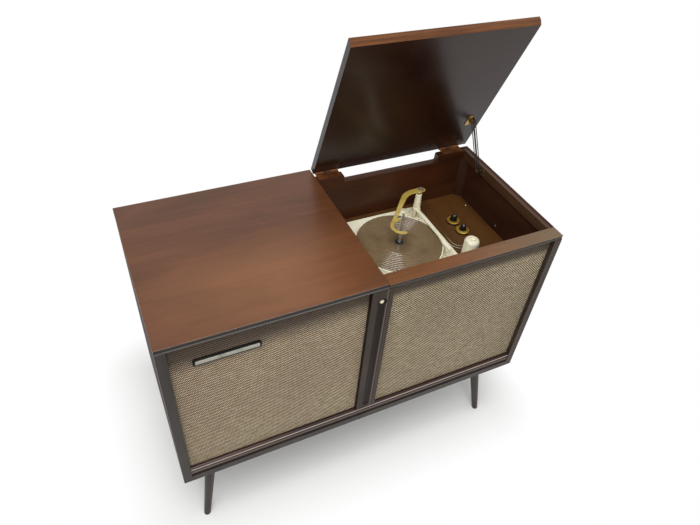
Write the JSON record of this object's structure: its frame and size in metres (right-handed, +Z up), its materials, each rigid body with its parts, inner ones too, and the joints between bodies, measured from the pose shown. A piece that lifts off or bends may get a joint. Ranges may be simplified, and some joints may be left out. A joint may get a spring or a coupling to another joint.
{
  "type": "gramophone cabinet",
  "caption": "Console record player on splayed legs, with a fixed top, a hinged lid on a slotted stay over a record changer, cloth grilles and a fluted stile.",
  "frame": {"origin": "on the floor under the middle of the cabinet", "axes": "+Z up, +Y from the front to the back, +X to the right seen from the front"},
  "size_m": [0.914, 0.426, 1.1011],
  "materials": {
    "top_veneer": "satin lacquer",
    "lid_veneer": "satin lacquer",
    "side_veneer": "satin lacquer",
    "grey_edge": "satin stain",
    "rail_wood": "satin lacquer",
    "rim_wood": "satin lacquer",
    "well_wood": "satin stain",
    "batten_wood": "stained",
    "fibreboard": "matt",
    "screw_steel": "zinc plated",
    "black_rubber": "matt",
    "stile_wood": "satin lacquer",
    "black_plastic": "satin",
    "jewel": "clear gloss",
    "moulding_wood": "satin lacquer",
    "speaker_board": "painted black",
    "grille_cloth": "woven",
    "plate_metal": "brushed",
    "speaker_steel": "satin",
    "cone_paper": "matt",
    "chassis_steel": "plated",
    "core_steel": "varnished",
    "valve_glass": "clear",
    "board_print": "printed wood grain",
    "cream_line": "painted line",
    "black_knob": "gloss",
    "gold_trim": "bright",
    "bright_steel": "polished",
    "cream_plastic": "satin gloss",
    "cream_enamel": "gloss enamel",
    "motor_paint": "satin",
    "pulley_brass": "turned",
    "idler_rubber": "matt",
    "brown_mat": "ribbed",
    "gold_arm": "gold lacquer",
    "hinge_brass": "lacquered",
    "stay_brass": "lacquered",
    "leg_wood": "satin stain"
  },
  "bodies": {
    "cabinet": {"left_top": "top_veneer", "left_side_panel": "side_veneer", "right_side_panel": "side_veneer", "front_posts": "grey_edge", "bottom_panel": "grey_edge", "centre_divider": "well_wood", "well_front_rail": "rail_wood", "well_side_rail": "rim_wood", "well_rear_board": "well_wood", "battens": "batten_wood", "back_panel": "fibreboard", "back_panel_screws": "screw_steel", "cord_grommet": "black_rubber", "centre_stile": "stile_wood", "pilot_lamp_holder": "black_plastic", "pilot_jewel": "jewel", "bottom_moulding": "moulding_wood", "left_baffle": "speaker_board", "right_baffle": "speaker_board", "left_grille_cloth": "grille_cloth", "right_grille_cloth": "grille_cloth", "nameplate_frame": "black_plastic", "nameplate_bar": "plate_metal", "woofer_frames": "speaker_steel", "woofer_cones": "cone_paper", "tweeters": "speaker_steel", "amplifier_chassis": "chassis_steel", "transformers": "core_steel", "valves": "valve_glass", "motor_board": "board_print", "control_inlay": "cream_line", "controls": "chassis_steel", "adapter_peg": "bright_steel", "deck_plate": "cream_enamel", "deck_mounts": "black_rubber", "drive_motor": "motor_paint", "spindle": "bright_steel", "overarm_post": "cream_plastic", "tone_arm_rest": "black_plastic", "hinge_frame_leaves": "hinge_brass", "stay_wall_bracket": "stay_brass", "leg_plates": "motor_paint", "legs": "leg_wood"},
    "lid": {"lid": "lid_veneer", "hinge_lid_leaves": "hinge_brass", "stay_lid_bracket": "stay_brass"},
    "stay": {"lid_stay": "stay_brass"},
    "platter": {"platter": "cream_enamel", "platter_mat": "brown_mat"},
    "idler": {"idler_wheel": "idler_rubber"},
    "motor_rotor": {"motor_pulley": "pulley_brass"},
    "overarm_rod": {"overarm_rod": "bright_steel"},
    "overarm": {"overarm": "gold_arm"},
    "tone_turret": {"tone_arm_turret": "cream_plastic"},
    "tone_arm": {"tone_arm": "cream_plastic"},
    "volume_knob": {"volume_knob": "black_knob", "volume_skirt": "gold_trim"},
    "tone_knob": {"tone_knob": "black_knob", "tone_skirt": "gold_trim"},
    "record_adapter": {"record_adapter": "cream_plastic"}
  },
  "joints": [
    {"name": "lid_hinge", "type": "hinge", "parent": "cabinet", "child": "lid", "pos_m": [0.233, 0.1966, 0.7083], "axis": [1, 0, 0], "range_deg": [0, 68.3]},
    {"name": "stay_pivot", "type": "hinge", "parent": "lid", "child": "stay", "pos_m": [0.4324, 0.15206, 0.80669], "axis": [1, 0, 0], "range_deg": [-34.15, 0]},
    {"name": "platter_spin", "type": "hinge", "parent": "cabinet", "child": "platter", "pos_m": [0.16, 0, 0.591], "axis": [0, 0, -1], "continuous": true},
    {"name": "idler_spin", "type": "hinge", "parent": "cabinet", "child": "idler", "pos_m": [0.08041, -0.02897, 0.588], "axis": [0, 0, -1], "continuous": true},
    {"name": "motor_spin", "type": "hinge", "parent": "cabinet", "child": "motor_rotor", "pos_m": [0.08649, -0.00627, 0.576], "axis": [0, 0, -1], "continuous": true},
    {"name": "overarm_lift", "type": "slide", "parent": "cabinet", "child": "overarm_rod", "axis": [0, 0, 1], "range_m": [0, 0.03]},
    {"name": "overarm_swing", "type": "hinge", "parent": "overarm_rod", "child": "overarm", "pos_m": [0.271, 0.108, 0.651], "axis": [0, 0, -1], "range_deg": [0, 45]},
    {"name": "tone_arm_swing", "type": "hinge", "parent": "cabinet", "child": "tone_turret", "pos_m": [0.271, 0.108, 0.583], "axis": [0, 0, -1], "range_deg": [0, 30]},
    {"name": "tone_arm_lift", "type": "hinge", "parent": "tone_turret", "child": "tone_arm", "pos_m": [0.259, 0.09, 0.612], "axis": [-1, 0, 0], "range_deg": [0, 12]},
    {"name": "volume_turn", "type": "hinge", "parent": "cabinet", "child": "volume_knob", "pos_m": [0.366, 0.018, 0.572], "axis": [0, 0, -1], "range_deg": [0, 300]},
    {"name": "tone_turn", "type": "hinge", "parent": "cabinet", "child": "tone_knob", "pos_m": [0.364, 0.061, 0.572], "axis": [0, 0, -1], "range_deg": [-150, 150]},
    {"name": "adapter_slide", "type": "slide", "parent": "cabinet", "child": "record_adapter", "axis": [0, 0, 1], "range_m": [0, 0.036]}
  ],
  "couplings": [
    {"joint": "stay_pivot", "follows": "lid_hinge", "ratio": -0.5},
    {"joint": "idler_spin", "follows": "platter_spin", "ratio": 5.7222},
    {"joint": "motor_spin", "follows": "platter_spin", "ratio": -19.808}
  ]
}
